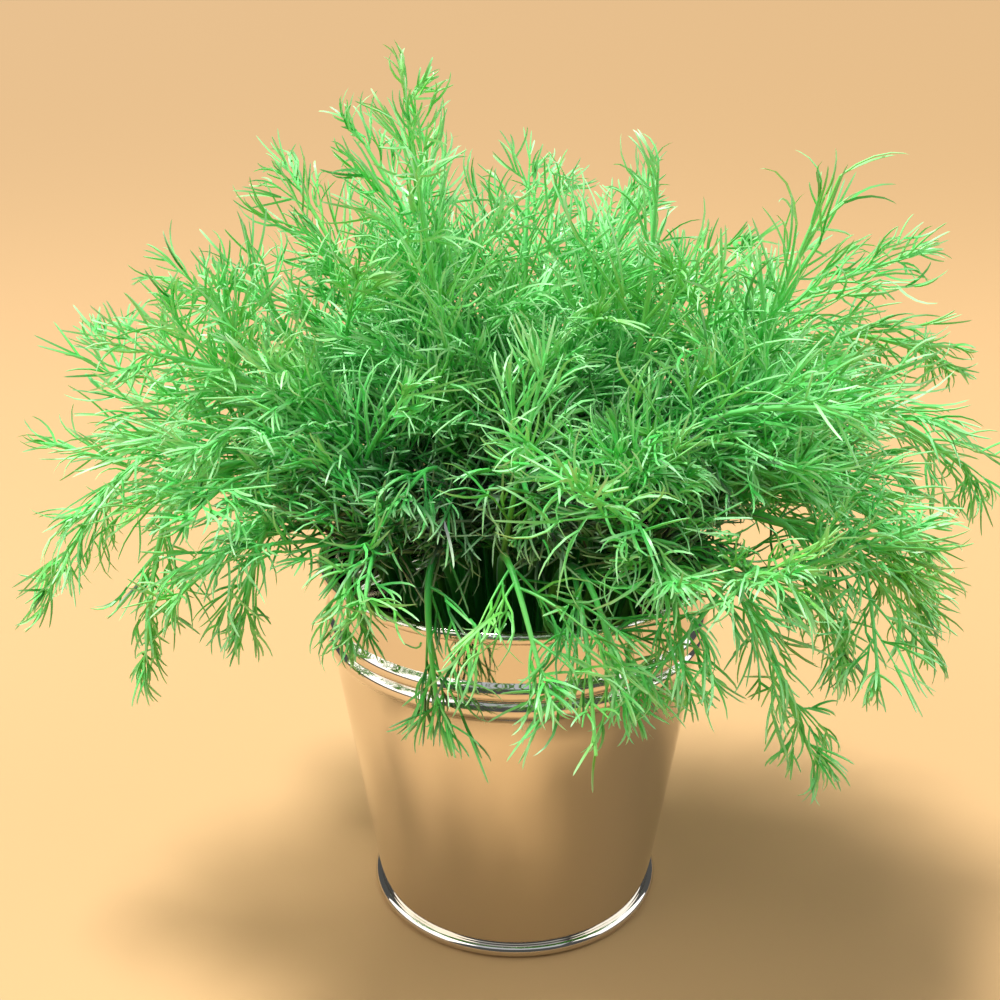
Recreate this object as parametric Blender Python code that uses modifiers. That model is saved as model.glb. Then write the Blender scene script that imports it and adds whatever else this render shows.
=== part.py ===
"""A bunch of dill standing in a small metal pail.

Metres, +Z up. The origin is on the pail's axis, in the plane that its foot ring
stands on. -Y is the front of the bunch. Every stalk with its leaves grew as one
piece, so every stalk is one solid.
"""

import math

import bmesh
import bpy
import numpy as np
from mathutils import Matrix, Vector, geometry

MM = 0.001
GAP = 0.3 * MM  # left between pieces that touch

# The pail: a tapered sheet metal wall, two swaged beads, a neck and a rolled rim.
PAIL_SIDES = 40
SHEET = 0.8 * MM
FOOT_RADIUS = 47.9 * MM  # outside of the foot ring
FOOT_WIRE = 4.0 * MM  # the foot ring's thickness
FOOT_FLAT = 1.0 * MM  # half the width of the flat that it stands on
WALL_FOOT_RADIUS = 46.6 * MM
WALL_SHOULDER_RADIUS = 58.2 * MM
SHOULDER_HEIGHT = 92.2 * MM  # where the lower bead starts
BEAD_HEIGHT = 5.6 * MM
BEAD_DEPTH = 1.8 * MM
NECK_RADIUS = 58.4 * MM
RIM_HEIGHT = 119.5 * MM
RIM_ROLL = 1.5 * MM  # radius of the rolled edge

# The stalks: from a small circle on the pail's bottom they lean out to its mouth.
STALK_SIDES = 4
STALK_RADIUS = 1.5 * MM
STALK_TIP_RADIUS = 0.45 * MM
BASE_SHARE = 0.62  # a stalk's distance from the axis at its foot, against the mouth's
STALK_FOOT_HEIGHT = FOOT_WIRE + 2 * GAP + SHEET
FIRST_PAIR = 0.34  # where the first pair of leaflets grows, along the free part
LAST_PAIR = 0.90
PAIRS = 4
JOINT_LENGTH = 1.8 * MM  # the stretch of stalk that a pair of leaflets grows from
LEAFLET_ANGLE = math.radians(52)
LEAFLET_BEND = math.radians(16)
LEAFLET_TAPER = 0.62
LEAFLET_LENGTHS = (0.85, 1.0, 0.85, 0.55)  # of each pair, as shares of the longest
CLEARANCE = 2.7 * MM  # between the centre lines of neighbouring limbs
SAMPLE = 1.6 * MM  # spacing of the points that the clearance is measured at
RIM_CLEAR_RADIUS = RIM_ROLL * 2 + NECK_RADIUS + 3 * MM
RIM_CLEAR_HEIGHT = RIM_HEIGHT + 4 * MM
SMALLEST_LEAFLET = 0.4  # as a share of its full length; a shorter one isn't grown

# One row a stalk: azimuth in degrees from +X, then in millimetres its distance from
# the axis at the mouth, the distance and height of its crown, the distance and
# height of its tip, then the tip's turn in degrees and the longest leaflet.
STALKS = [
    # The outer ring, which arches over the rim.
    (358, 44, 100, 164, 152, 136, 4, 30),
    (341, 44, 92, 153, 128, 98, 3, 28),
    (326, 44, 82, 147, 104, 103, 8, 26),
    (311, 44, 73, 140, 108, 80, 10, 24),
    (297, 44, 72, 143, 84, 105, 6, 24),
    (282, 44, 70, 141, 93, 112, 5, 24),
    (264, 44, 68, 145, 97, 120, 10, 24),
    (247, 44, 67, 140, 78, 100, 7, 22),
    (230, 44, 69, 145, 82, 123, 6, 22),
    (213, 44, 78, 150, 98, 118, 6, 21),
    (197, 44, 92, 155, 118, 88, -2, 23),
    (183, 44, 104, 155, 150, 104, 3, 28),
    (170, 44, 112, 137, 154, 152, 5, 22),
    (154, 44, 80, 137, 102, 106, 0, 24),
    (137, 44, 90, 151, 126, 118, 3, 28),
    (119, 44, 82, 156, 110, 122, -3, 28),
    (101, 44, 77, 151, 101, 112, 2, 26),
    (83, 44, 76, 153, 101, 118, 0, 26),
    (65, 44, 80, 156, 107, 128, 0, 26),
    (47, 44, 90, 153, 127, 112, -2, 28),
    (30, 44, 96, 159, 141, 130, -2, 28),
    (14, 44, 98, 180, 150, 170, -3, 30),
    # The middle ring, which leans out.
    (350, 27, 64, 174, 88, 236, 4, 44),
    (322, 27, 62, 172, 118, 189, -2, 30),
    (296, 27, 47, 161, 70, 162, 0, 26),
    (270, 27, 46, 159, 72, 153, 3, 26),
    (243, 27, 48, 161, 72, 159, 0, 26),
    (218, 27, 56, 165, 84, 173, 0, 28),
    (198, 27, 74, 177, 116, 195, 0, 32),
    (172, 27, 66, 181, 108, 206, 3, 28),
    (146, 27, 60, 190, 96, 234, -3, 30),
    (118, 27, 54, 186, 88, 212, 0, 28),
    (80, 27, 50, 188, 84, 224, 0, 28),
    (64, 27, 54, 190, 86, 221, 0, 28),
    (38, 27, 62, 183, 104, 206, 0, 28),
    (12, 27, 82, 190, 130, 209, 0, 30),
    # The heart, which stands up.
    (190, 12, 24, 200, 33, 266, 0, 34),
    (240, 12, 20, 176, 32, 193, 0, 24),
    (292, 12, 20, 179, 36, 191, 0, 24),
    (340, 12, 36, 184, 40, 243, 8, 30),
    (35, 12, 26, 189, 48, 229, 0, 28),
    (85, 12, 26, 196, 52, 236, 0, 28),
    (140, 12, 30, 198, 66, 249, 3, 28),
]

METAL = ((0.80, 0.79, 0.77), 0.10, 1.0)
GREENS = [
    (0.075, 0.235, 0.060),
    (0.095, 0.290, 0.070),
    (0.060, 0.200, 0.065),
    (0.120, 0.320, 0.080),
]
LEAF_ROUGHNESS = 0.5


def clear_scene():
    for thing in list(bpy.data.objects):
        bpy.data.objects.remove(thing)


def material(name, color, roughness, metallic):
    made = bpy.data.materials.new(name)
    made.use_nodes = True
    shader = made.node_tree.nodes["Principled BSDF"]
    shader.inputs["Base Color"].default_value = (*color, 1)
    shader.inputs["Roughness"].default_value = roughness
    shader.inputs["Metallic"].default_value = metallic
    return made


def add(name, mesh, collection, finish):
    mesh.materials.append(material(name, *finish))
    thing = bpy.data.objects.new(name, mesh)
    collection.objects.link(thing)
    return thing


def turned(name, outline, closed, collection, finish):
    """A profile in the XZ plane, outer side first from the top down, turned about Z."""
    mesh = bpy.data.meshes.new(name)
    corners = [(radius, 0, height) for radius, height in outline]
    edges = [(i, i + 1) for i in range(len(corners) - 1)]
    if closed:
        edges.append((len(corners) - 1, 0))
    mesh.from_pydata(corners, edges, [])
    thing = add(name, mesh, collection, finish)
    screw = thing.modifiers.new("turn", "SCREW")
    screw.axis = "Z"
    screw.steps = PAIL_SIDES
    screw.render_steps = PAIL_SIDES
    screw.use_merge_vertices = True
    screw.merge_threshold = 0.01 * MM
    screw.use_smooth_shade = True
    return thing


def arc(radius, height, size, first, last, steps):
    """Points on a circle in the XZ plane, from angle first to last in degrees."""
    angles = np.radians(np.linspace(first, last, steps))
    return [(radius + size * math.cos(a), height + size * math.sin(a)) for a in angles]


def bead(radius, top):
    """The outer side of one swaged bead, from its top down to its bottom."""
    shares = (0.0, 0.2, 0.5, 0.8)
    return [
        (radius + BEAD_DEPTH * math.sin(math.pi * share), top - BEAD_HEIGHT * share)
        for share in shares
    ]


def pail_body(collection):
    """Wall, beads, neck and rolled rim in one sheet, thickened inwards."""
    roll = NECK_RADIUS + RIM_ROLL
    beads_top = SHOULDER_HEIGHT + 2 * BEAD_HEIGHT
    outline = arc(roll, RIM_HEIGHT - RIM_ROLL, RIM_ROLL, -80, 180, 7)
    outline += bead(NECK_RADIUS, beads_top)
    outline += bead(NECK_RADIUS, beads_top - BEAD_HEIGHT)
    outline.append((WALL_SHOULDER_RADIUS, SHOULDER_HEIGHT))
    outline.append((WALL_FOOT_RADIUS, FOOT_WIRE + GAP))
    thing = turned("pail_body", outline, False, collection, METAL)
    solidify = thing.modifiers.new("sheet", "SOLIDIFY")
    solidify.thickness = SHEET
    solidify.offset = -1
    return thing


def pail_foot_ring(collection):
    """A rolled ring with a narrow flat underneath, which the pail stands on."""
    middle = FOOT_RADIUS - FOOT_WIRE / 2
    outline = arc(middle, FOOT_WIRE / 2, FOOT_WIRE / 2, 90, -40, 5)
    outline += [(middle + FOOT_FLAT, 0), (middle - FOOT_FLAT, 0)]
    outline += arc(middle, FOOT_WIRE / 2, FOOT_WIRE / 2, 220, 120, 4)
    return turned("pail_foot_ring", outline, True, collection, METAL)


def pail_bottom(collection):
    """The sheet metal disc inside the foot of the wall."""
    radius = WALL_FOOT_RADIUS - SHEET - GAP
    height = FOOT_WIRE + GAP
    bm = bmesh.new()
    bmesh.ops.create_cone(
        bm,
        cap_ends=True,
        segments=PAIL_SIDES,
        radius1=radius,
        radius2=radius,
        depth=SHEET,
        matrix=Matrix.Translation((0, 0, height + SHEET / 2)),
    )
    mesh = bpy.data.meshes.new("pail_bottom")
    bm.to_mesh(mesh)
    bm.free()
    return add("pail_bottom", mesh, collection, METAL)


def knots(row):
    """Foot, mouth, crown and tip of a stalk."""
    azimuth, mouth, crown, crown_height, tip, tip_height, turn, _ = row
    angle = math.radians(azimuth)
    turned_tip = math.radians(azimuth + turn)
    places = [
        (mouth * BASE_SHARE * MM, STALK_FOOT_HEIGHT, angle),
        (mouth * MM, RIM_HEIGHT, angle),
        (crown * MM, crown_height * MM, (angle * 2 + turned_tip) / 3),
        (tip * MM, tip_height * MM, turned_tip),
    ]
    return [Vector((r * math.cos(a), r * math.sin(a), z)) for r, z, a in places]


def centre_line(row, steps=14):
    """Evenly spaced points on one smooth curve through a stalk's knots, and where the mouth is among them."""
    through = knots(row)
    last = len(through) - 1
    headings = [
        (through[min(i + 1, last)] - through[max(i - 1, 0)]).normalized()
        for i in range(len(through))
    ]
    points = []
    for i in range(last):
        reach = (through[i + 1] - through[i]).length / 3
        ahead = through[i] + headings[i] * reach
        behind = through[i + 1] - headings[i + 1] * reach
        points += geometry.interpolate_bezier(
            through[i], ahead, behind, through[i + 1], steps
        )[:-1]
    return points + [through[last]], steps - 1


class Route:
    """A stalk's centre line, read by the distance along it."""

    def __init__(self, row):
        points, mouth = centre_line(row)
        self.points = np.array(points)
        steps = np.linalg.norm(np.diff(self.points, axis=0), axis=1)
        self.distances = np.concatenate([[0], np.cumsum(steps)])
        self.length = self.distances[-1]
        self.mouth = self.distances[mouth]

    def at(self, distance):
        return Vector(
            [np.interp(distance, self.distances, self.points[:, i]) for i in range(3)]
        )

    def heading(self, distance):
        near = max(distance - 1.5 * MM, 0)
        far = min(distance + 1.5 * MM, self.length)
        return (self.at(far) - self.at(near)).normalized()

    def radius(self, distance):
        share = distance / self.length
        return STALK_RADIUS + (STALK_TIP_RADIUS - STALK_RADIUS) * share


class Limbs:
    """The centre lines of all limbs, so that a new one can keep clear of the others."""

    def __init__(self):
        self.starts = []
        self.ends = []
        self.owners = []

    def add(self, owner, line):
        for a, b in zip(line, line[1:]):
            self.starts.append(a)
            self.ends.append(b)
            self.owners.append(owner)

    def clear(self, owner, line):
        """Does a line keep its distance from every limb of the other stalks, and from the pail?"""
        others = np.array(self.owners) != owner
        starts = np.array(self.starts)[others]
        along = np.array(self.ends)[others] - starts
        squares = np.maximum((along**2).sum(axis=1), 1e-12)
        for a, b in zip(line, line[1:]):
            for share in np.linspace(0, 1, 2 + int((b - a).length / SAMPLE)):
                point = np.array(a.lerp(b, share))
                foot = np.clip(((point - starts) * along).sum(axis=1) / squares, 0, 1)
                away = np.linalg.norm(starts + along * foot[:, None] - point, axis=1)
                if away.min() < CLEARANCE or near_pail(point):
                    return False
        return True


def near_pail(point):
    return (
        point[2] < RIM_CLEAR_HEIGHT and math.hypot(point[0], point[1]) < RIM_CLEAR_RADIUS
    )


def grow(bm, face, place, heading, size):
    """Extrudes a face to a place, turned to a heading and scaled."""
    face.normal_update()
    centre = face.calc_center_median()
    turn = face.normal.rotation_difference(heading).to_matrix().to_4x4()
    tip = bmesh.ops.extrude_discrete_faces(bm, faces=[face])["faces"][0]
    shrink = Matrix.Scale(size, 4)
    move = Matrix.Translation(place) @ turn @ shrink @ Matrix.Translation(-centre)
    bmesh.ops.transform(bm, matrix=move, verts=tip.verts)
    tip.normal_update()
    return tip


def side_faces(tip, side):
    """Of the walls just extruded behind a face, the two that look to the sides."""
    walls = [f for edge in tip.edges for f in edge.link_faces if f is not tip]
    for wall in walls:
        wall.normal_update()
    walls.sort(key=lambda wall: wall.normal.dot(side))
    return walls[-1], walls[0]


def stations(route):
    """The distances of a stalk's rings; a pair of leaflets grows behind each marked one."""
    free = route.length - route.mouth
    rings = [(route.mouth * 0.5, False), (route.mouth, False)]
    for i in range(PAIRS):
        share = FIRST_PAIR + (LAST_PAIR - FIRST_PAIR) * i / (PAIRS - 1)
        middle = route.mouth + free * share
        rings.append((middle - JOINT_LENGTH / 2, False))
        rings.append((middle + JOINT_LENGTH / 2, True))
    rings.append((route.length, False))
    return rings


def leaflet_line(start, heading, outward, length):
    """Three points: out of the stalk at an angle, then bent towards the stalk's heading."""
    first = heading * math.cos(LEAFLET_ANGLE) + outward * math.sin(LEAFLET_ANGLE)
    turned_in = LEAFLET_ANGLE - LEAFLET_BEND
    second = heading * math.cos(turned_in) + outward * math.sin(turned_in)
    elbow = start + first * length * 0.5
    return [start, elbow, elbow + second * length * 0.5]


def grow_leaflet(bm, wall, owner, heading, full, limbs):
    """The longest leaflet of some set lengths that keeps clear of its neighbours."""
    wall.normal_update()
    start = wall.calc_center_median()
    outward = (wall.normal - heading * wall.normal.dot(heading)).normalized()
    for share in (1.0, 0.8, 0.6, SMALLEST_LEAFLET):
        line = leaflet_line(start, heading, outward, full * share)
        if limbs.clear(owner, line):
            limbs.add(owner, line)
            tip = wall
            for a, b in zip(line, line[1:]):
                tip = grow(bm, tip, b, (b - a).normalized(), LEAFLET_TAPER)
            return


def first_stretch(bm, route, distance, side):
    """The lowest stretch of a stalk, with two of its four walls facing sideways, and its top face."""
    foot = route.at(0)
    top = route.at(distance)
    heading = (top - foot).normalized()
    turn = Matrix((side, heading.cross(side), heading)).transposed().to_4x4()
    middle = Matrix.Translation((foot + top) / 2)
    bmesh.ops.create_cone(
        bm,
        cap_ends=True,
        segments=STALK_SIDES,
        radius1=route.radius(0),
        radius2=route.radius(distance),
        depth=(top - foot).length,
        matrix=middle @ turn @ Matrix.Rotation(math.pi / STALK_SIDES, 4, "Z"),
    )
    bm.normal_update()
    return max(bm.faces, key=lambda face: face.normal.dot(heading))


def sprig_mesh(name, row, owner, route, limbs):
    """A four-sided tapering stalk, extruded ring by ring, then leaflets from its side walls."""
    azimuth = math.radians(row[0])
    side = Vector((-math.sin(azimuth), math.cos(azimuth), 0))
    rings = stations(route)
    bm = bmesh.new()
    tip = first_stretch(bm, route, rings[0][0], side)
    pairs = []
    for (before, _), (distance, bears_leaflets) in zip(rings, rings[1:]):
        size = route.radius(distance) / route.radius(before)
        tip = grow(bm, tip, route.at(distance), route.heading(distance), size)
        if bears_leaflets:
            pairs.append((side_faces(tip, side), route.heading(distance)))
    for i, (walls, heading) in enumerate(pairs):
        length = row[-1] * MM * LEAFLET_LENGTHS[i]
        for wall in walls:
            grow_leaflet(bm, wall, owner, heading, length, limbs)
    mesh = bpy.data.meshes.new(name)
    bm.to_mesh(mesh)
    bm.free()
    return mesh


def dill(collection):
    """All stalks are laid out first, and then each grows the leaflets that there is room for."""
    routes = [Route(row) for row in STALKS]
    limbs = Limbs()
    for owner, route in enumerate(routes):
        limbs.add(owner, [Vector(point) for point in route.points])
    for owner, (row, route) in enumerate(zip(STALKS, routes)):
        name = f"dill_sprig_{owner + 1:02d}"
        mesh = sprig_mesh(name, row, owner, route, limbs)
        green = GREENS[owner % len(GREENS)]
        add(name, mesh, collection, (green, LEAF_ROUGHNESS, 0.0))


clear_scene()
bunch = bpy.data.collections.new("dill_bunch")
bpy.context.scene.collection.children.link(bunch)
pail_body(bunch)
pail_foot_ring(bunch)
pail_bottom(bunch)
dill(bunch)
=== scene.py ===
# %% [markdown]
# # A bunch of fresh dill in a small metal pail
#
# Dill is a herb with hollow green stalks and leaves that are divided again and again until only
# threads are left. A bunch of it is a cloud of thousands of threads, so it can't be modelled one
# leaf at a time. This lesson models one thread by hand, and then lets a few short rules copy it
# into sprays, leaflets and whole fronds that follow the stalks of the bunch. The pail is one
# turned sheet of tinned steel. We start by loading the fixed model that all pieces are built on.

# %% Load the model
import math
from collections import namedtuple

import bpy
import numpy as np
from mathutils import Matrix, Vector, geometry


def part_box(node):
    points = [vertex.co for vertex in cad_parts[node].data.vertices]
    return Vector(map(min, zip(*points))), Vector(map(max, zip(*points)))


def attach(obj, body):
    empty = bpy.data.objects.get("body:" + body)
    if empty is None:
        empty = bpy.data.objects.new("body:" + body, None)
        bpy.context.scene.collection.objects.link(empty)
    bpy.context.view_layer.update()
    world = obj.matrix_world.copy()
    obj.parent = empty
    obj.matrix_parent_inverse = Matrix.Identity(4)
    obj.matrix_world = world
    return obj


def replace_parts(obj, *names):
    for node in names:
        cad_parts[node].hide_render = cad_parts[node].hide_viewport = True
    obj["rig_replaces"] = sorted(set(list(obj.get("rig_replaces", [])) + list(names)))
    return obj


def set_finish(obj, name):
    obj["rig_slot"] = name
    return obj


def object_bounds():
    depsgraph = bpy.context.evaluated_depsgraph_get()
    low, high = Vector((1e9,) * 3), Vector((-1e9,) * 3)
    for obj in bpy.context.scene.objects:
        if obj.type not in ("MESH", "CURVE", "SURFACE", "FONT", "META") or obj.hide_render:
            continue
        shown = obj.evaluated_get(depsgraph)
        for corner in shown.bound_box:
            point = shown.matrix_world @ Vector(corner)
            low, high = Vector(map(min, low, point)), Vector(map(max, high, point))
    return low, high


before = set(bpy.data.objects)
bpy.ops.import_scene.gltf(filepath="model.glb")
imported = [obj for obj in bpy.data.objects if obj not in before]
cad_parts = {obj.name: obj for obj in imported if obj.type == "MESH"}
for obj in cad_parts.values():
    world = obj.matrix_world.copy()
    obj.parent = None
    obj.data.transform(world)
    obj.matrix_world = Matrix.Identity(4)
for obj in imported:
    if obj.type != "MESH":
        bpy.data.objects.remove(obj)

cad_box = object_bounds()
bpy.ops.object.select_all(action="DESELECT")
MM = 0.001
print("the model is", [round(side / MM) for side in cad_box[1] - cad_box[0]], "mm")

# %% [markdown]
# ## Places that the model gives
#
# The pail's pieces are measured from the solids, so that the finished sheet lies where the solid
# sheet lies. Radii are half the width of each piece's box, because the pail stands on the origin.

# %% Measure the pail
ring_low, ring_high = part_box("pail_foot_ring")
body_low, body_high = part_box("pail_body")
disc_low, disc_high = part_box("pail_bottom")
FOOT_RADIUS = (ring_high.x - ring_low.x) / 2
FOOT_WIRE = ring_high.z - ring_low.z
RIM_RADIUS = (body_high.x - body_low.x) / 2
RIM_HEIGHT = body_high.z
print("foot ring", round(FOOT_RADIUS / MM, 1), "mm")
print("rim", round(RIM_RADIUS / MM, 1), "mm at", round(RIM_HEIGHT / MM, 1), "mm")

# %% [markdown]
# ## Colours and nodes
#
# Colours are written as sRGB hex values, the way paint charts give them, and one function turns
# them into the linear values that the shaders use. A second function adds one node with its
# settings and its links, so each material reads as a short list.

# %% Colour and node helpers
def linear(hex_colour):
    """An sRGB hex colour as linear RGBA."""
    parts = [int(hex_colour[i : i + 2], 16) / 255 for i in (1, 3, 5)]
    curve = [p / 12.92 if p <= 0.04045 else ((p + 0.055) / 1.055) ** 2.4 for p in parts]
    return (*curve, 1.0)


def new_material(name):
    made = bpy.data.materials.new(name)
    made.use_nodes = True
    return made, made.node_tree, made.node_tree.nodes["Principled BSDF"]


def add_node(tree, kind, links=(), inputs=(), **settings):
    """Adds a node, sets its properties and inputs, and links other sockets into it."""
    node = tree.nodes.new(kind)
    for name, value in settings.items():
        setattr(node, name, value)
    for name, value in inputs:
        node.inputs[name].default_value = value
    for name, socket in links:
        tree.links.new(socket, node.inputs[name])
    return node


def set_stops(ramp_node, stops):
    """Gives a colour ramp its stops, as (place, hex colour)."""
    ramp = ramp_node.color_ramp
    while len(ramp.elements) < len(stops):
        ramp.elements.new(0.5)
    for element, (place, colour) in zip(ramp.elements, stops):
        element.position = place
        element.color = linear(colour)


# %% [markdown]
# ## Finish: tinned steel sheet
#
# Small pails are pressed from thin steel that is tinned and polished. It is a true mirror, a
# little warm, and the rolling of the sheet leaves it very slightly wavy. So the metal is bright
# with a low roughness, a wide soft bump bends the reflections, and a fine upright grain changes
# the roughness a little, as a polishing belt leaves it. The real grain is about 0.4 mm wide. It is
# drawn four times as wide, or it would not show.

# %% Make the tinned steel
GRAIN = 4 * 0.4 * MM
WAVE = 22 * MM


def tinned_steel():
    made, tree, shader = new_material("polished_tinned_steel")
    shader.inputs["Base Color"].default_value = linear("#DAD3C8")
    shader.inputs["Metallic"].default_value = 1.0
    place = add_node(tree, "ShaderNodeTexCoord").outputs["Object"]
    drawn = add_node(tree, "ShaderNodeMapping", [("Vector", place)], [("Scale", (1, 1, 0.03))])
    grain = add_node(
        tree, "ShaderNodeTexNoise", [("Vector", drawn.outputs[0])],
        [("Scale", 1 / GRAIN), ("Detail", 3.0)],
    )
    smudge = add_node(
        tree, "ShaderNodeTexNoise", [("Vector", place)], [("Scale", 1 / WAVE), ("Detail", 4.0)]
    )
    both = add_node(
        tree, "ShaderNodeMath", [(0, grain.outputs["Fac"]), (1, smudge.outputs["Fac"])],
        operation="MULTIPLY",
    )
    rough = add_node(
        tree, "ShaderNodeMapRange", [("Value", both.outputs[0])],
        [("From Min", 0.1), ("From Max", 0.45), ("To Min", 0.02), ("To Max", 0.09)],
    )
    tree.links.new(rough.outputs[0], shader.inputs["Roughness"])
    wave = add_node(
        tree, "ShaderNodeTexNoise", [("Vector", place)], [("Scale", 1 / WAVE), ("Detail", 1.0)]
    )
    bump = add_node(
        tree, "ShaderNodeBump", [("Height", wave.outputs["Fac"])],
        [("Strength", 0.05), ("Distance", 1.0 * MM)],
    )
    tree.links.new(bump.outputs[0], shader.inputs["Normal"])
    return made


STEEL = tinned_steel()
print("made", STEEL.name)

# %% [markdown]
# ## The pail's wall
#
# The real wall is one sheet, rolled into a cone and pressed: two beads under a short neck make it
# stiff, and its upper edge is rolled outwards round a hollow. A turned piece could be a profile
# with a Screw. Here a circle is extruded ring by ring up the profile and scaled, as by hand,
# because each ring is then a named step of the wall. Solidify gives it the sheet's thickness.

# %% Turn the wall
SHEET = 0.5 * MM
ROUND = 144  # vertices in every turned ring
WALL_FOOT = 45.2 * MM
SHOULDER = 58.2 * MM
NECK = 58.4 * MM
BEAD_HEIGHT = 5.6 * MM
BEAD_DEPTH = 1.8 * MM
BEADS_LOW = 92.2 * MM
RIM_ROLL = (RIM_RADIUS - NECK) / 2


def arc(radius, height, size, first, last, steps):
    """Points on a circle in the profile's plane, between two angles in degrees."""
    angles = np.radians(np.linspace(first, last, steps))
    return [(radius + size * math.cos(a), height + size * math.sin(a)) for a in angles]


def bead(radius, low):
    """One pressed bead, from its lower edge up."""
    shares = np.linspace(0.04, 0.96, 11)
    bulge = [BEAD_DEPTH * math.sin(math.pi * s) ** 0.8 for s in shares]
    return [(radius + out, low + BEAD_HEIGHT * s) for out, s in zip(bulge, shares)]


def smooth_corners(piece, degrees):
    piece.select_set(True)
    bpy.context.view_layer.objects.active = piece
    bpy.ops.object.shade_smooth_by_angle(angle=math.radians(degrees))
    bpy.ops.object.select_all(action="DESELECT")


def turn_up(name, profile, thickness, finish):
    """A circle extruded and scaled up a profile of (radius, height), then thickened inwards."""
    radius, height = profile[0]
    bpy.ops.mesh.primitive_circle_add(vertices=ROUND, radius=radius, location=(0, 0, height))
    piece = bpy.context.active_object
    piece.name = name
    bpy.ops.object.transform_apply(location=True, rotation=True, scale=True)
    bpy.ops.object.mode_set(mode="EDIT")
    for (radius, height), (next_radius, next_height) in zip(profile, profile[1:]):
        rise = (0, 0, next_height - height)
        bpy.ops.mesh.extrude_region_move(TRANSFORM_OT_translate={"value": rise})
        grown = next_radius / radius
        bpy.ops.transform.resize(value=(grown, grown, 1), center_override=(0, 0, next_height))
    bpy.ops.mesh.select_all(action="SELECT")
    bpy.ops.mesh.normals_make_consistent(inside=False)
    bpy.ops.object.mode_set(mode="OBJECT")
    solidify = piece.modifiers.new("sheet", "SOLIDIFY")
    solidify.thickness = thickness
    solidify.offset = -1
    bpy.ops.object.modifier_apply(modifier="sheet")
    piece.data.materials.append(finish)
    smooth_corners(piece, 35)
    return piece


wall_profile = [(WALL_FOOT, FOOT_WIRE * 0.9)]
wall_profile += [
    (WALL_FOOT + (SHOULDER - WALL_FOOT) * s, FOOT_WIRE * 0.9 + (BEADS_LOW - FOOT_WIRE) * s)
    for s in np.linspace(0.04, 0.99, 12)
]
wall_profile += bead(NECK, BEADS_LOW)
wall_profile += bead(NECK, BEADS_LOW + BEAD_HEIGHT)
wall_profile += [(NECK, BEADS_LOW + 2 * BEAD_HEIGHT + rise * MM) for rise in (0.3, 4, 8, 12)]
wall_profile += arc(NECK + RIM_ROLL, RIM_HEIGHT - RIM_ROLL, RIM_ROLL, 180, -100, 19)
wall = turn_up("pail_wall", wall_profile, SHEET, STEEL)
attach(wall, "root")
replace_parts(wall, "pail_body")
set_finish(wall, "tinned_steel")
print("wall:", len(wall_profile), "rings,", len(wall.data.polygons), "faces")

# %% [markdown]
# ## The foot ring, the bottom and the side seam
#
# Wall and bottom are joined by a rolled hem, which the pail stands on. It is turned like the wall,
# as a curl of sheet round a hollow. The bottom is a disc with a pressed step. The wall was once a
# flat blank, and its two ends are hooked into each other in a flat upright seam at the back, so
# the seam is a narrow strip of the wall's own faces, doubled and thickened outwards.

# %% Turn the foot ring
ring_middle = FOOT_RADIUS - FOOT_WIRE / 2
ring_profile = arc(ring_middle, FOOT_WIRE / 2, FOOT_WIRE / 2, -200, 112, 27)
foot_ring = turn_up("pail_foot_hem", ring_profile, SHEET, STEEL)
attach(foot_ring, "root")
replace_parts(foot_ring, "pail_foot_ring")
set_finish(foot_ring, "tinned_steel")
print("foot ring:", len(foot_ring.data.polygons), "faces")

# %% Press the bottom
STEP_DEPTH = 0.35 * MM
STEP_WIDTH = 5 * MM
disc_radius = WALL_FOOT - 1.1 * MM
bpy.ops.mesh.primitive_cylinder_add(
    vertices=ROUND, radius=disc_radius, depth=disc_high.z - disc_low.z,
    location=(0, 0, (disc_low.z + disc_high.z) / 2),
)
bottom = bpy.context.active_object
bottom.name = "pail_floor"
bpy.ops.object.transform_apply(location=True, rotation=True, scale=True)
bpy.ops.object.mode_set(mode="EDIT")
bpy.ops.mesh.select_mode(type="FACE")
for looks_up, move in ((True, -STEP_DEPTH), (False, STEP_DEPTH)):
    bpy.ops.mesh.select_all(action="DESELECT")
    bpy.ops.object.mode_set(mode="OBJECT")
    for face in bottom.data.polygons:
        face.select = face.normal.z > 0.9 if looks_up else face.normal.z < -0.9
    bpy.ops.object.mode_set(mode="EDIT")
    bpy.ops.mesh.inset(thickness=STEP_WIDTH)
    bpy.ops.mesh.inset(thickness=1.0 * MM)
    bpy.ops.transform.translate(value=(0, 0, move))
bpy.ops.object.mode_set(mode="OBJECT")
bottom.data.materials.append(STEEL)
smooth_corners(bottom, 40)
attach(bottom, "root")
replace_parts(bottom, "pail_bottom")
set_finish(bottom, "tinned_steel")
print("bottom:", len(bottom.data.polygons), "faces")

# %% Fold the side seam
SEAM_AZIMUTH = math.radians(97)
SEAM_WIDTH = 5 * MM
SEAM_SHEET = 0.45 * MM
SEAM_LIFT = 0.05 * MM


def on_seam(centre):
    """Is a face on the outer side of the wall, within the seam's strip?"""
    across = (math.atan2(centre.y, centre.x) - SEAM_AZIMUTH) * math.hypot(centre.x, centre.y)
    return abs(across) < SEAM_WIDTH / 2 and 7 * MM < centre.z < BEADS_LOW - 2 * MM


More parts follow.
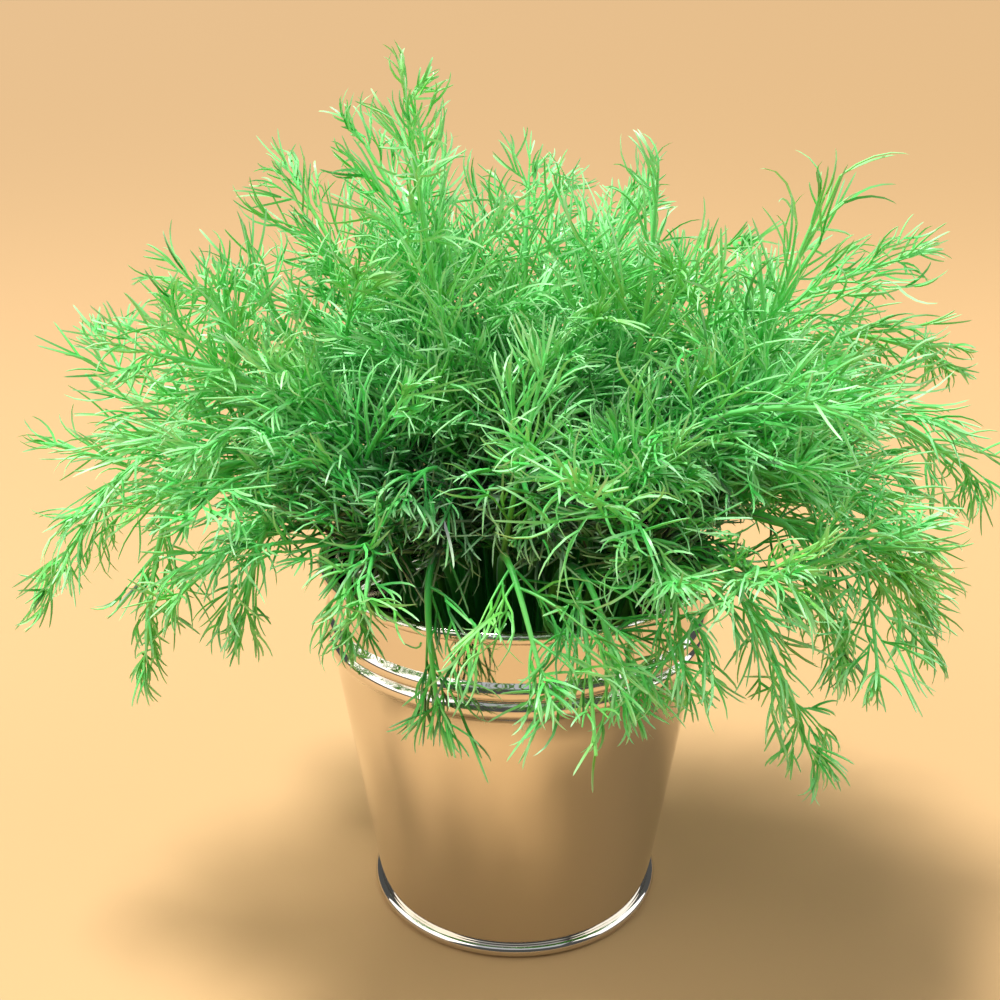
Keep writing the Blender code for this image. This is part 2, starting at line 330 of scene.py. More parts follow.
seam = wall.copy()
seam.data = wall.data.copy()
seam.name = "pail_seam"
bpy.context.scene.collection.objects.link(seam)
seam.select_set(True)
bpy.context.view_layer.objects.active = seam
for face in seam.data.polygons:
    outward = Vector((face.center.x, face.center.y, 0)).normalized()
    face.select = not (on_seam(face.center) and face.normal.dot(outward) > 0.5)
bpy.ops.object.mode_set(mode="EDIT")
bpy.ops.mesh.delete(type="FACE")
bpy.ops.mesh.select_all(action="SELECT")
bpy.ops.transform.shrink_fatten(value=SEAM_LIFT)
bpy.ops.object.mode_set(mode="OBJECT")
fold = seam.modifiers.new("fold", "SOLIDIFY")
fold.thickness = SEAM_SHEET
fold.offset = 1
bpy.ops.object.modifier_apply(modifier="fold")
edges = seam.modifiers.new("edges", "BEVEL")
edges.width = 0.15 * MM
edges.segments = 2
bpy.ops.object.modifier_apply(modifier="edges")
smooth_corners(seam, 40)
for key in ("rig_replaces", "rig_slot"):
    if key in seam:
        del seam[key]
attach(seam, "root")
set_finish(seam, "tinned_steel")
print("seam:", len(seam.data.polygons), "faces")

# %% [markdown]
# ## Finish: a dill leaf
#
# A dill thread is a live green leaf a millimetre thick. Its skin carries a thin bloom of wax, so
# it isn't glossy: it has a soft, pale, bluish green shine where it faces the light, and a deep
# saturated green where it doesn't. The tips are paler than the base, partly as younger leaf and
# partly as a painted highlight of that pale shine. The threads' UV map holds two numbers for
# this: how far along the thread a point is, and a tone for each thread. That tone is partly its
# own at random, partly painted shade, dark deep in the bunch, and partly painted light, pale over
# the rim. A slow noise over the whole bunch makes some fronds yellower than others.

# %% Make the leaf
BLOTCH = 35 * MM
STREAK = 1.5 * MM


def dill_leaf():
    made, tree, shader = new_material("waxy_dill_leaf")
    uv = add_node(tree, "ShaderNodeUVMap", uv_map="thread")
    parts = add_node(tree, "ShaderNodeSeparateXYZ", [("Vector", uv.outputs[0])])
    place = add_node(tree, "ShaderNodeTexCoord").outputs["Object"]
    blotch = add_node(
        tree, "ShaderNodeTexNoise", [("Vector", place)], [("Scale", 1 / BLOTCH), ("Detail", 2.0)]
    )
    # Dark tones are painted shade deep in the bunch, and pale tones are partly painted light over
    # the rim.
    shade_and_tone = add_node(tree, "ShaderNodeValToRGB", [("Fac", parts.outputs["Y"])])
    set_stops(shade_and_tone, [(0.0, "#0A2410"), (0.3, "#259034"), (0.6, "#5AD662"), (1.0, "#A2EC9A")])
    young = add_node(
        tree, "ShaderNodeMapRange", [("Value", blotch.outputs["Fac"])],
        [("From Min", 0.52), ("From Max", 0.70), ("To Min", 0.0), ("To Max", 0.45)],
    )
    yellowed = add_node(
        tree, "ShaderNodeMix", [("Factor", young.outputs[0]), ("A", shade_and_tone.outputs["Color"])],
        data_type="RGBA",
    )
    yellowed.inputs["B"].default_value = linear("#8CC93C")
    # Paler towards the tip: partly younger leaf, partly a painted highlight of the wax's pale
    # shine.
    tip = add_node(
        tree, "ShaderNodeMapRange", [("Value", parts.outputs["X"])],
        [("From Min", 0.30), ("From Max", 1.0), ("To Min", 0.0), ("To Max", 0.52)],
    )
    paled_with_painted_highlight = add_node(
        tree, "ShaderNodeMix", [("Factor", tip.outputs[0]), ("A", yellowed.outputs["Result"])],
        data_type="RGBA",
    )
    paled_with_painted_highlight.inputs["B"].default_value = linear("#BFEAB8")
    tree.links.new(paled_with_painted_highlight.outputs["Result"], shader.inputs["Base Color"])
    streak = add_node(
        tree, "ShaderNodeTexNoise", [("Vector", place)], [("Scale", 1 / STREAK), ("Detail", 2.0)]
    )
    rough = add_node(
        tree, "ShaderNodeMapRange", [("Value", streak.outputs["Fac"])],
        [("To Min", 0.30), ("To Max", 0.50)],
    )
    tree.links.new(rough.outputs[0], shader.inputs["Roughness"])
    shader.inputs["IOR"].default_value = 1.42
    shader.inputs["Sheen Weight"].default_value = 0.18
    shader.inputs["Sheen Roughness"].default_value = 0.4
    shader.inputs["Sheen Tint"].default_value = linear("#CFF3DC")
    return made


LEAF = dill_leaf()
print("made", LEAF.name)

# %% [markdown]
# ## The stalks
#
# Every stalk starts on the pail's bottom, leans out to the mouth, rises to a crown and ends in
# the tip of its frond. Four points on a smooth curve say all of that. The table holds, for each
# stalk, its azimuth, then in millimetres its distance from the axis at the mouth, the distance
# and height of its crown and of its tip, then the tip's turn in degrees and the length of its
# longest leaflet. These are the same stalks as in the model, so that each frond of threads
# stands where the model's frond collides.

# %% Lay out the stalks
BASE_SHARE = 0.62  # a stalk's distance from the axis at its foot, against the mouth's
STALK_FOOT_HEIGHT = disc_high.z + 0.3 * MM
STALKS = [
    # The outer ring, which arches over the rim.
    (358, 44, 100, 164, 152, 136, 4, 30),
    (341, 44, 92, 153, 128, 98, 3, 28),
    (326, 44, 82, 147, 104, 103, 8, 26),
    (311, 44, 73, 140, 108, 80, 10, 24),
    (297, 44, 72, 143, 84, 105, 6, 24),
    (282, 44, 70, 141, 93, 112, 5, 24),
    (264, 44, 68, 145, 97, 120, 10, 24),
    (247, 44, 67, 140, 78, 100, 7, 22),
    (230, 44, 69, 145, 82, 123, 6, 22),
    (213, 44, 78, 150, 98, 118, 6, 21),
    (197, 44, 92, 155, 118, 88, -2, 23),
    (183, 44, 104, 155, 150, 104, 3, 28),
    (170, 44, 112, 137, 154, 152, 5, 22),
    (154, 44, 80, 137, 102, 106, 0, 24),
    (137, 44, 90, 151, 126, 118, 3, 28),
    (119, 44, 82, 156, 110, 122, -3, 28),
    (101, 44, 77, 151, 101, 112, 2, 26),
    (83, 44, 76, 153, 101, 118, 0, 26),
    (65, 44, 80, 156, 107, 128, 0, 26),
    (47, 44, 90, 153, 127, 112, -2, 28),
    (30, 44, 96, 159, 141, 130, -2, 28),
    (14, 44, 98, 180, 150, 170, -3, 30),
    # The middle ring, which leans out.
    (350, 27, 64, 174, 88, 236, 4, 44),
    (322, 27, 62, 172, 118, 189, -2, 30),
    (296, 27, 47, 161, 70, 162, 0, 26),
    (270, 27, 46, 159, 72, 153, 3, 26),
    (243, 27, 48, 161, 72, 159, 0, 26),
    (218, 27, 56, 165, 84, 173, 0, 28),
    (198, 27, 74, 177, 116, 195, 0, 32),
    (172, 27, 66, 181, 108, 206, 3, 28),
    (146, 27, 60, 190, 96, 234, -3, 30),
    (118, 27, 54, 186, 88, 212, 0, 28),
    (80, 27, 50, 188, 84, 224, 0, 28),
    (64, 27, 54, 190, 86, 221, 0, 28),
    (38, 27, 62, 183, 104, 206, 0, 28),
    (12, 27, 82, 190, 130, 209, 0, 30),
    # The heart, which stands up.
    (190, 12, 24, 200, 33, 266, 0, 34),
    (240, 12, 20, 176, 32, 193, 0, 24),
    (292, 12, 20, 179, 36, 191, 0, 24),
    (340, 12, 36, 184, 40, 243, 8, 30),
    (35, 12, 26, 189, 48, 229, 0, 28),
    (85, 12, 26, 196, 52, 236, 0, 28),
    (140, 12, 30, 198, 66, 249, 3, 28),
]
UP = np.array((0.0, 0.0, 1.0))


def unit(vectors):
    return vectors / np.maximum(np.linalg.norm(vectors, axis=-1, keepdims=True), 1e-12)


def knots(row):
    """Foot, mouth, crown and tip of a stalk."""
    azimuth, mouth, crown, crown_height, tip, tip_height, turn, _ = row
    angle = math.radians(azimuth)
    turned_tip = math.radians(azimuth + turn)
    places = [
        (mouth * BASE_SHARE * MM, STALK_FOOT_HEIGHT, angle),
        (mouth * MM, RIM_HEIGHT, angle),
        (crown * MM, crown_height * MM, (angle * 2 + turned_tip) / 3),
        (tip * MM, tip_height * MM, turned_tip),
    ]
    return [Vector((r * math.cos(a), r * math.sin(a), z)) for r, z, a in places]


class Spine:
    """A smooth curve through points, read by the share of its length from a given point on."""

    def __init__(self, through, free_from=0, steps=14):
        last = len(through) - 1
        headings = [
            (through[min(i + 1, last)] - through[max(i - 1, 0)]).normalized()
            for i in range(len(through))
        ]
        points = []
        for i in range(last):
            reach = (through[i + 1] - through[i]).length / 3
            ahead = through[i] + headings[i] * reach
            behind = through[i + 1] - headings[i + 1] * reach
            points += geometry.interpolate_bezier(
                through[i], ahead, behind, through[i + 1], steps
            )[:-1]
        self.points = np.array(points + [through[last]])
        lengths = np.linalg.norm(np.diff(self.points, axis=0), axis=1)
        self.distances = np.concatenate([[0], np.cumsum(lengths)])
        self.start = self.distances[free_from * (steps - 1)]
        self.free = self.distances[-1] - self.start

    def at(self, shares):
        """Places at shares of the free length, as rows."""
        distances = self.start + np.asarray(shares) * self.free
        return np.stack([np.interp(distances, self.distances, c) for c in self.points.T], axis=-1)

    def headings(self, shares):
        shares = np.asarray(shares)
        return unit(self.at(np.minimum(shares + 0.02, 1)) - self.at(np.maximum(shares - 0.02, 0)))


spines = [Spine(knots(row), free_from=1) for row in STALKS]
print(len(spines), "stalks,", round(sum(s.distances[-1] for s in spines), 2), "m in all")

# %% [markdown]
# ## One thread
#
# The thread is the only leaf shape that is modelled: a three-sided needle under a millimetre
# thick, with a blunt tip. It is repeated tens of thousands of times, so it has only sixteen faces.
# A small triangle is filled, extruded up five times and narrowed, and its last ring is merged to
# the tip. It is made one unit long and one unit wide, so that a copy's length and width are
# simply multiplied in.

# %% Model the thread
# Each ring's share of the thread's length, and of its width.
THREAD_RINGS = ((0.25, 1.0), (0.5, 0.94), (0.74, 0.8), (0.92, 0.58), (1.0, 0.3))

bpy.ops.mesh.primitive_circle_add(vertices=3, radius=0.5, fill_type="NGON")
thread = bpy.context.active_object
thread.name = "thread_pattern"
bpy.ops.object.mode_set(mode="EDIT")
at, width = 0.0, 1.0
for share, wide in THREAD_RINGS:
    bpy.ops.mesh.extrude_region_move(TRANSFORM_OT_translate={"value": (0, 0, share - at)})
    bpy.ops.transform.resize(value=(wide / width, wide / width, 1))
    at, width = share, wide
bpy.ops.mesh.merge(type="CENTER")
bpy.ops.mesh.select_all(action="SELECT")
bpy.ops.mesh.normals_make_consistent(inside=False)
bpy.ops.object.mode_set(mode="OBJECT")
pattern = np.array([v.co for v in thread.data.vertices])
pattern_faces = [list(face.vertices) for face in thread.data.polygons]
bpy.data.objects.remove(thread)
print("a thread has", len(pattern), "points and", len(pattern_faces), "faces")

# %% [markdown]
# ## Copies of the thread
#
# A copy is placed by six things: where it starts, which way it points, which way it bows and how
# much, its length and its width. Numpy places all copies of a frond at once, and each stalk gets
# a mesh of its own. The tubes of the stalk and of its leaflets' ribs are curves with a radius at
# every point, the usual way to a tapering wire in Blender, made a mesh at the end.

# %% Helpers that copy threads and draw ribs
RIB_PALER = 0.14  # ribs are a little paler than the leaves beside them
RIB_PALEST = 0.72


def thread_mesh(name, base, axis, bow, bend, length, width, shade_and_tone):
    """One mesh of bowed threads. A bend is the tip's shift aside as a share of the length."""
    count, size = len(base), len(pattern)
    side = unit(np.cross(axis, bow))
    bow = np.cross(side, axis)
    x, y, z = pattern.T
    across = side[:, None, :] * (x * width[:, None])[:, :, None]
    out = bow[:, None, :] * (y * width[:, None] + (bend * length)[:, None] * z**2)[:, :, None]
    reach = length[:, None] * (z - 0.5 * np.abs(bend)[:, None] * z**3)
    along = axis[:, None, :] * reach[:, :, None]
    points = base[:, None, :] + across + out + along
    corners = np.array([corner for face in pattern_faces for corner in face])
    starts = np.cumsum([0] + [len(face) for face in pattern_faces[:-1]])
    all_corners = (corners + np.arange(count)[:, None] * size).ravel()
    all_starts = (starts + np.arange(count)[:, None] * len(corners)).ravel()
    mesh = bpy.data.meshes.new(name)
    mesh.vertices.add(count * size)
    mesh.loops.add(len(all_corners))
    mesh.polygons.add(len(all_starts))
    mesh.vertices.foreach_set("co", points.astype(np.float32).ravel())
    mesh.loops.foreach_set("vertex_index", all_corners.astype(np.int32))
    mesh.polygons.foreach_set("loop_start", all_starts.astype(np.int32))
    layer = mesh.uv_layers.new(name="thread")
    uv = np.stack([z[corners][None, :].repeat(count, 0), shade_and_tone[:, None].repeat(len(corners), 1)], -1)
    layer.data.foreach_set("uv", uv.astype(np.float32).ravel())
    mesh.update(calc_edges=True)
    mesh.validate()
    return mesh


def rib_mesh(name, ribs):
    """Tubes along (points, radii), closed at both ends, with the thread's UV map and tones."""
    curve = bpy.data.curves.new(name, "CURVE")
    curve.dimensions = "3D"
    curve.bevel_depth = 1.0
    curve.bevel_resolution = 1
    curve.use_fill_caps = True
    for points, radii in ribs:
        spline = curve.splines.new("POLY")
        spline.points.add(len(points) - 1)
        spline.points.foreach_set("co", np.column_stack([points, np.ones(len(points))]).ravel())
        spline.points.foreach_set("radius", np.asarray(radii))
    drawn = bpy.data.objects.new(name, curve)
    bpy.context.scene.collection.objects.link(drawn)
    drawn.select_set(True)
    bpy.context.view_layer.objects.active = drawn
    bpy.ops.object.convert(target="MESH")
    bpy.ops.object.mode_set(mode="EDIT")
    bpy.ops.mesh.select_all(action="SELECT")
    bpy.ops.mesh.remove_doubles(threshold=0.001 * MM)
    bpy.ops.mesh.normals_make_consistent(inside=False)
    bpy.ops.object.mode_set(mode="OBJECT")
    mesh = drawn.data
    while mesh.uv_layers:
        mesh.uv_layers.remove(mesh.uv_layers[0])
    layer = mesh.uv_layers.new(name="thread")
    places = np.array([mesh.vertices[loop.vertex_index].co for loop in mesh.loops])
    # The ribs take the leaves' painted shade and painted light, a little paler.
    shade_and_tone = np.minimum(painted_light_and_shade_tone(places) + RIB_PALER, RIB_PALEST)
    layer.data.foreach_set("uv", np.column_stack([0 * shade_and_tone, shade_and_tone]).astype(np.float32).ravel())
    bpy.ops.object.select_all(action="DESELECT")
    return drawn


# %% [markdown]
# ## From thread to frond
#
# A dill frond is built three times over by the same idea. Pairs of leaflets leave the stalk,
# sprays leave each leaflet on alternate sides, and each spray is one thread with a few more
# forking from it. Three rules for the whole bunch come first: no leaf grows inside the pail or
# through its wall, none strays far outside the model's box, and a leaf blade is widest low down.

# %% Rules for the whole bunch
THREAD_WIDTH = 0.82 * MM
THREAD_LENGTH = 31 * MM
WALL_CLEAR = 2.5 * MM  # room between the pail's rim and the leaves beside it
MOUTH_CLEAR = 1.5 * MM  # and above it
STRAY = 8 * MM  # how far a thread may reach beyond the model's box
BLADE_END = 0.9  # share of its stalk at which a leaf blade stops
WIDEST = 0.4  # share of a blade at which it is widest
Habit = namedtuple("Habit", "size sag pair_spacing spread spray_spacing forks rib")


def spread_out(rng, count, size):
    """Random small vectors."""
    return rng.normal(0, size, (count, 3))


def in_pail(places):
    """Whether places are inside the pail or in its wall."""
    near = np.hypot(places[..., 0], places[..., 1]) < RIM_RADIUS + WALL_CLEAR
    return near & (places[..., 2] < RIM_HEIGHT + MOUTH_CLEAR)


def astray(places):
    """Whether places are too far outside the model's box."""
    low, high = (np.array(corner) for corner in cad_box)
    return ((places < low - STRAY) | (places > high + STRAY)).any(axis=-1)


def blade_outline(share):
    """A leaf blade's half width at a share of its length: widest low down, closing to a point."""
    rise = 0.6 + 0.4 * np.sin(np.pi * np.minimum(share / WIDEST, 1) / 2)
    return rise * (1 - share**1.8) + 0.10


widths = blade_outline(np.linspace(0, 1, 5))
print("a blade's half width from foot to tip, in leaflets:", [round(float(w), 2) for w in widths])

# %% [markdown]
# ## Leaflets
#
# All of a frond's leaflets are short curves, worked out together: a start, a first direction, and
# a slow turn towards the stalk's tip and towards the ground. Each is a little off its proper
# place, angle and length, because a frond that is too regular looks like a comb. The random
# numbers are seeded by the stalk's number, so that the bunch grows the same way every time.

# %% Grow leaflets along a stalk
LAST_PAIR = 0.95  # share of a blade at which its last pair grows
OUTERMOST = 0.97
PAIR_WOBBLE = 0.22
ROLL_WOBBLE = 0.35
NARROWING = 0.45  # how much the leaflets' angle closes towards the tip
LEAFLET_LIFT = (0.15, 0.28)  # mean and spread, as of every pair of numbers below
LEAFLET_SIZES = (0.78, 1.12)
TURN_FORWARD = 0.20


def leaflets(rng, spine, habit, face_up, first):
    """Pairs of leaflets along a spine: start, direction, turn, length and upper side of each."""
    pairs = max(int(round(spine.free * (1 - first) / habit.pair_spacing)), 4)
    share = np.repeat(np.linspace(0, LAST_PAIR, pairs), 2)
    share = np.clip(share + rng.normal(0, PAIR_WOBBLE / pairs, len(share)), 0, OUTERMOST)
    on_spine = first + (BLADE_END - first) * share / LAST_PAIR
    signs = np.tile((-1.0, 1.0), pairs)[:, None]
    start = spine.at(on_spine)
    heading = spine.headings(on_spine)
    level = face_up - heading * (heading @ face_up)[:, None]
    up = unit(level + spread_out(rng, len(share), ROLL_WOBBLE))
    side = unit(np.cross(heading, up))
    angle = habit.spread * (1 - NARROWING * share) + rng.normal(0, 8, len(share))
    angle = np.radians(angle)[:, None]
    lift = rng.normal(*LEAFLET_LIFT, (len(share), 1))
    direction = unit(heading * np.cos(angle) + side * signs * np.sin(angle) + up * lift)
    length = habit.size * blade_outline(share) * rng.uniform(*LEAFLET_SIZES, len(share))
    turn = heading * TURN_FORWARD - UP * habit.sag + spread_out(rng, len(share), 0.10)
    # The stalk's own end is the last leaflet.
    start = np.vstack([start, spine.at([BLADE_END])])
    direction = np.vstack([direction, spine.headings([BLADE_END])])
    turn = np.vstack([turn, -UP * habit.sag])
    length = np.append(length, 0.5 * (1 - BLADE_END) * spine.free)
    up = np.vstack([unit(np.cross(side * signs, direction[:-1])), up[-1]])
    inside = in_pail(start + length[:, None] * (direction + turn)) | in_pail(start)
    return [values[~inside] for values in (start, direction, turn, length, up)]


# %% [markdown]
# ## Sprays and forks
#
# The sprays lean forward at about thirty degrees, shorter towards the leaflet's tip and on a
# short leaflet, and one ends it. A spray's long thread bows towards the tip and the ground. Its
# forks leave near its foot, so that they seem to burst from one point, and bow back to it.

# %% Grow sprays along the leaflets
SPRAY_ANGLE = (31, 8)  # degrees
SPRAY_LIFT = (0.08, 0.25)
SPRAY_SIZES = (0.65, 1.25)
FULL_LEAFLET = 26 * MM  # length of a leaflet whose sprays are full-sized


def sprays(rng, start, direction, turn, length, up, spacing):
    """Sprays along each leaflet: base, axis, the leaflet's heading there, upper side and size."""
    counts = np.maximum(np.round(length / spacing).astype(int), 2)
    which = np.repeat(np.arange(len(length)), counts)
    order = np.concatenate([np.arange(n) for n in counts])
    share = (order + 0.85) / counts[which] + rng.normal(0, 0.03, len(order))
    is_tip = order == counts[which] - 1
    share = np.where(is_tip, 1.0, np.clip(share, 0.08, 1.0))[:, None]
    direction, turn, long = direction[which], turn[which], length[which][:, None]
    base = start[which] + long * (direction * share + turn * share**2)
    heading = unit(direction + 2 * turn * share)
    sign = np.where((order + which) % 2 == 0, 1.0, -1.0)[:, None]
    rolled = unit(up[which] + spread_out(rng, len(which), 0.5))
    side = unit(np.cross(heading, rolled))
    angle = np.radians(rng.normal(*SPRAY_ANGLE, len(which)))
    angle = np.where(is_tip, 0.0, angle)[:, None]
    lift = rng.normal(*SPRAY_LIFT, (len(which), 1))
    axis = unit(heading * np.cos(angle) + side * sign * np.sin(angle) + rolled * lift)
    size = (1.1 - 0.35 * share[:, 0]) * rng.uniform(*SPRAY_SIZES, len(which))
    size = size * np.clip(0.4 + 0.6 * length[which] / FULL_LEAFLET, 0.5, 1.1)
    return base, axis, heading, rolled, size


# %% Fork the threads
BEND = (0.36, 0.20)  # how far a thread's tip is bowed aside, as a share of its length
FIRST_FORK, FORK_STEP, FORK_WOBBLE = 0.05, 0.13, 0.10  # shares of the thread
FORK_ANGLE = (33, 11)  # degrees
FIRST_FORK_LENGTH, FORK_SHORTENING = 0.84, 0.10
FORK_SIZES = (0.7, 1.2)


def square_to(vectors, axis):
    """The parts of vectors that stand square to an axis, one unit long."""
    return unit(vectors - axis * (vectors * axis).sum(axis=1)[:, None])


def forked_threads(rng, base, axis, heading, up, size, sag, forks):
    """Each spray's long thread, and the shorter ones that fork from it on both sides."""
    count = len(base)
    length = THREAD_LENGTH * size
    forward = heading - axis * (heading * axis).sum(axis=1)[:, None]
    bow = unit(forward * 0.8 - UP * (0.25 + sag) + spread_out(rng, count, 0.35))
    bow = square_to(bow, axis)
    bend = np.abs(rng.normal(*BEND, count))
    made = [(base, axis, bow, bend, length)]
    for i in range(forks):
        sign = 1.0 if i % 2 == 0 else -1.0
        share = (FIRST_FORK + FORK_STEP * i + rng.uniform(0, FORK_WOBBLE, count))[:, None]
        long = length[:, None]
        from_place = base + long * (axis * share + bow * bend[:, None] * share**2)
        along = unit(axis + 2 * bow * bend[:, None] * share)
        side = unit(np.cross(along, up + spread_out(rng, count, 0.7)))
        angle = np.radians(rng.normal(*FORK_ANGLE, (count, 1)))
        fork_axis = unit(along * np.cos(angle) + side * sign * np.sin(angle))
        fork_bow = unit(side * -sign * 0.7 + bow * 0.6 + spread_out(rng, count, 0.3))
        fork_bow = square_to(fork_bow, fork_axis)
        fork_length = length * (FIRST_FORK_LENGTH - FORK_SHORTENING * i)
        fork_length = fork_length * rng.uniform(*FORK_SIZES, count)
        made.append((from_place, fork_axis, fork_bow, bend, fork_length))
    threads = [np.concatenate(parts) for parts in zip(*made)]
    tip = threads[0] + threads[4][:, None] * (threads[1] + threads[2] * threads[3][:, None])
    clear = ~(in_pail(tip) | in_pail(threads[0]) | astray(tip))
    return [values[clear] for values in threads]


# %% [markdown]
# ## Leaf blades
#
# A blade is all of that along one curve. The large blade follows the stalk's own free end. The
# lower leaves have short curves of their own: each leaves the stalk, rises and falls over.

# %% Make one leaf blade
def frond(rng, spine, habit, face_up, first):
    """Ribs and threads of one leaf blade along a spine."""
    start, direction, turn, length, up = leaflets(rng, spine, habit, face_up, first)
    ribs = []
    steps = np.linspace(0, 1, 6)[:, None]
    for i in range(len(length)):
        points = start[i] + length[i] * (direction[i] * steps + turn[i] * steps**2)
        ribs.append((points, habit.rib * (1 - 0.5 * steps[:, 0])))
    base, axis, heading, rolled, scale = sprays(
        rng, start, direction, turn, length, up, habit.spray_spacing
    )
    return ribs, forked_threads(
        rng, base, axis, heading, rolled, scale, habit.sag, habit.forks
    )


def side_leaf(rng, spine, share, reach, rise):
    """The spine of a lower leaf."""
    foot = spine.at([share])[0]
    heading = spine.headings([share])[0]
    around = unit(np.cross(heading, rng.normal(0, 1, 3)))
    aim = unit(heading * rng.uniform(0.3, 0.8) + around * 0.9 + UP * rise)
    tip = foot + aim * reach + around * reach * 0.2 - UP * reach * 0.05
    middle = foot + aim * reach * 0.55
    return Spine([Vector(foot), Vector(middle), Vector(tip)])


# %% [markdown]
# ## A leaf's tone: painted shade and painted light
#
# The leaves deep in the bunch are painted dark, as painted shade. The tone grows from zero in the
# bunch's heart, a flat round region near the front of the pail's mouth, to pale at the outside,
# and the leaves that hang over the rim are painted pale, as painted light. These two distances
# decide it.

# %% Choose the tones
PAINTED_SHADE_CENTRE = np.array((0, -34, 127)) * MM
PAINTED_SHADE_SHAPE = (1.15, 1.15, 0.6)
PAINTED_SHADE_REACH = np.array((42, 70, 108)) * MM
PAINTED_SHADE_TONES = (0.0, 0.42, 0.76)
PAINTED_LIGHT_RIM_REACH = np.array((64, 86)) * MM
PAINTED_LIGHT_RIM_TONES = (0.0, 0.70)


def painted_light_and_shade_tone(places):
    """The tone of the leaves at some places: painted shade deep in the bunch, painted light over
    the rim.
    """
    away = np.linalg.norm((places - PAINTED_SHADE_CENTRE) / PAINTED_SHADE_SHAPE, axis=1)
    deep = np.interp(away, PAINTED_SHADE_REACH, PAINTED_SHADE_TONES)
    painted_light_over_rim = np.interp(np.hypot(*places.T[:2]), PAINTED_LIGHT_RIM_REACH, PAINTED_LIGHT_RIM_TONES)
    return np.maximum(deep, painted_light_over_rim)


across = np.array([(x * MM, 0, RIM_HEIGHT) for x in (0, 60, 90)])
print("tones 0, 60 and 90 mm from the axis:", painted_light_and_shade_tone(across).round(2))

# %% [markdown]
# ## Whole stalks
#
# Stalks differ in habit. Most are full: leaflets every 9.5 mm, and four lower leaves. The front
# ones are bare below, where one looks into the dark of the bunch, and hold their leaves out over
# the rim. Some on the right are leafier. Three are young and open: long leaflets, 17 mm apart,
# with hardly a fork. Stalks, ribs and threads of one stalk are joined into one piece.

# %% Grow the bunch
BARE_BELOW = (6, 7, 8)
LEAFY_BELOW = (2, 3, 4, 24)
OPEN_FRONDS = (13, 23, 40)
FIRST_SEED = 4100
LOW_LEAF = Habit(16 * MM, 0.03, 8.5 * MM, 50, 5.0 * MM, 2, 0.4 * MM)
LOW_LEAF_SHARES = (0.04, 0.5)  # where on the stalk the lower leaves grow
LOW_LEAF_REACH = (34, 56)  # mm
STALK_STEPS = 34
STALK_RADII = np.array((1.7, 1.45, 0.5)) * MM  # well below the mouth, at the mouth and at the tip


def habit_of(number, row):
    """A stalk's habit, where its blade begins, its number of lower leaves, and its blade's lean."""
    droops = row[5] < row[3]
    sag = 0.13 if droops else 0.03
    size = row[7] * (0.85 if droops else 1.0) * MM
    lean = 0.1 if droops else 0.9
    if number in OPEN_FRONDS:
        return Habit(size * 1.1, 0.05, 17 * MM, 50, 13 * MM, 1, 0.7 * MM), 0.14, 1, lean
    full = Habit(size, sag, 9.5 * MM, 44 if droops else 62, 6.0 * MM, 3, 0.45 * MM)
    if number in BARE_BELOW:
        return full, 0.50, 1, lean
    return full, 0.14, 7 if number in LEAFY_BELOW else 4, lean


def grow_sprig(number, row, spine):
    """One stalk with all its leaves, as one piece."""
    rng = np.random.default_rng(FIRST_SEED + number)
    azimuth = math.radians(row[0])
    outward = np.array((math.cos(azimuth), math.sin(azimuth), 0.0))
    habit, first, low_leaves, lean = habit_of(number, row)
    blades = [frond(rng, spine, habit, unit(UP - outward * lean), first)]
    stalk_steps = np.linspace(-spine.start / spine.free, BLADE_END, STALK_STEPS)
    ribs = [(spine.at(stalk_steps), np.interp(stalk_steps, (-1.0, 0.0, 1.0), STALK_RADII))]
    for _ in range(low_leaves):
        share, reach = rng.uniform(*LOW_LEAF_SHARES), rng.uniform(*LOW_LEAF_REACH) * MM
        leaf = side_leaf(rng, spine, share, reach, 0.45)
        steps = np.linspace(0, 1, 9)
        ribs.append((leaf.at(steps), (0.85 - 0.4 * steps) * MM))
        blades.append(frond(rng, leaf, LOW_LEAF, UP, 0.2))
    for blade_ribs, _ in blades:
        ribs += blade_ribs
    base, axis, bow, bend, length = (
        np.concatenate([threads[i] for _, threads in blades]) for i in range(5)
    )
    count = len(base)
    width = THREAD_WIDTH * rng.uniform(0.8, 1.15, count)
    # Painted shade deep in the bunch and painted light over the rim, with a random tone for each
    # stalk and thread.
    shade_and_tone = painted_light_and_shade_tone(base) + rng.normal(rng.normal(0, 0.06), 0.17, count)
    name = f"dill_frond_{number:02d}"
    mesh = thread_mesh(name, base, axis, bow, bend, length, width, np.clip(shade_and_tone, 0, 1))
    piece = bpy.data.objects.new(name, mesh)
    bpy.context.scene.collection.objects.link(piece)
    drawn = rib_mesh(name + "_ribs", ribs)
    drawn.select_set(True)
    piece.select_set(True)
    bpy.context.view_layer.objects.active = piece
    bpy.ops.object.join()
    piece.data.materials.clear()
    piece.data.materials.append(LEAF)
    smooth_corners(piece, 80)
    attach(piece, "root")
    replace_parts(piece, f"dill_sprig_{number:02d}")
    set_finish(piece, "dill_leaf")
    piece.data.calc_loop_triangles()
    return count, len(piece.data.loop_triangles)


totals = np.array([grow_sprig(i, *stalk) for i, stalk in enumerate(zip(STALKS, spines), start=1)])
threads, triangles = totals.T
print(threads.sum(), "threads,", triangles.sum(), "triangles, most in one", triangles.max())

# %% [markdown]
# ## Floor, light and camera
#
# The floor is a plain pale sheet, a little warm, which the polished pail mirrors. Two large soft
# lights hang to the left and right, as windows would: they draw the white lines on the beads and
# on the foot ring. A soft sun from above gives the leaves their pale tops, a weak light over the
# front fills in a little, and the deep gaps between the fronds stay dark.

# %% Lay the floor
bpy.ops.mesh.primitive_plane_add(size=300)
floor = bpy.context.active_object
floor.name = "floor"


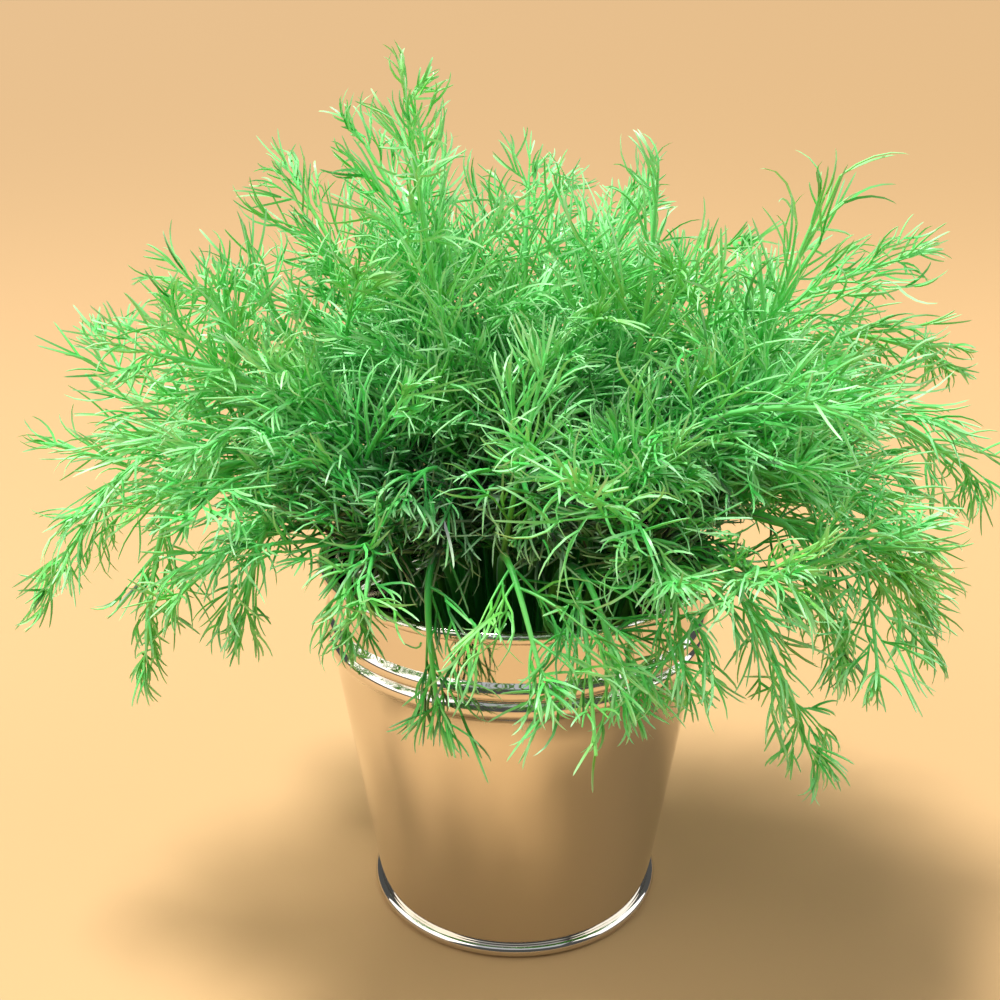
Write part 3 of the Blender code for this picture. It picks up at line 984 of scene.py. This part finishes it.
def pale_floor():
    made, _, shader = new_material("pale_floor")
    shader.inputs["Base Color"].default_value = linear("#C09A68")
    shader.inputs["Roughness"].default_value = 0.75
    return made


floor.data.materials.append(pale_floor())
bpy.ops.object.select_all(action="DESELECT")


# %% Hang the lights
def soft_light(name, place, target, width, height, power, colour):
    data = bpy.data.lights.new(name, "AREA")
    data.shape = "RECTANGLE"
    data.size = width
    data.size_y = height
    data.energy = power
    data.color = linear(colour)[:3]
    light = bpy.data.objects.new(name, data)
    light.location = place
    light.rotation_euler = (Vector(target) - Vector(place)).to_track_quat("-Z", "Y").to_euler()
    bpy.context.scene.collection.objects.link(light)


key = bpy.data.lights.new("key_light", "SUN")
key.energy = 4.8
key.angle = math.radians(18)
key_light = bpy.data.objects.new("key_light", key)
key_light.rotation_euler = Vector((0.2, -0.14, -0.95)).to_track_quat("-Z", "Y").to_euler()
bpy.context.scene.collection.objects.link(key_light)
soft_light("left_window", (-1.0, -0.2, 0.75), (0, 0, 0.1), 1.5, 1.1, 11, "#FFFDF8")
soft_light("right_window", (1.0, 0.0, 0.7), (0, 0, 0.1), 1.2, 1.0, 8, "#F8FBFF")
soft_light("ceiling", (0, -0.7, 1.1), (0, 0, 0.1), 1.4, 0.6, 2, "#DCE6F4")

world = bpy.data.worlds.new("studio")
bpy.context.scene.world = world
world.use_nodes = True
world.node_tree.nodes["Background"].inputs["Color"].default_value = linear("#E8EEF2")
world.node_tree.nodes["Background"].inputs["Strength"].default_value = 0.12
bpy.context.scene.view_settings.view_transform = "Standard"

# %% Place the camera
CAMERA_BACK = 381 * MM
CAMERA_HEIGHT = 281.5 * MM
CAMERA_LEFT = 5.1 * MM
CAMERA_DOWN = math.radians(20.93)
camera_data = bpy.data.cameras.new("camera")
camera_data.sensor_width = 36
camera_data.lens = 47.34
camera_data.clip_start = 0.01
camera = bpy.data.objects.new("camera", camera_data)
camera.location = (-CAMERA_LEFT, -CAMERA_BACK, CAMERA_HEIGHT)
camera.rotation_euler = (math.pi / 2 - CAMERA_DOWN, 0, 0)
bpy.context.scene.collection.objects.link(camera)
bpy.context.scene.camera = camera
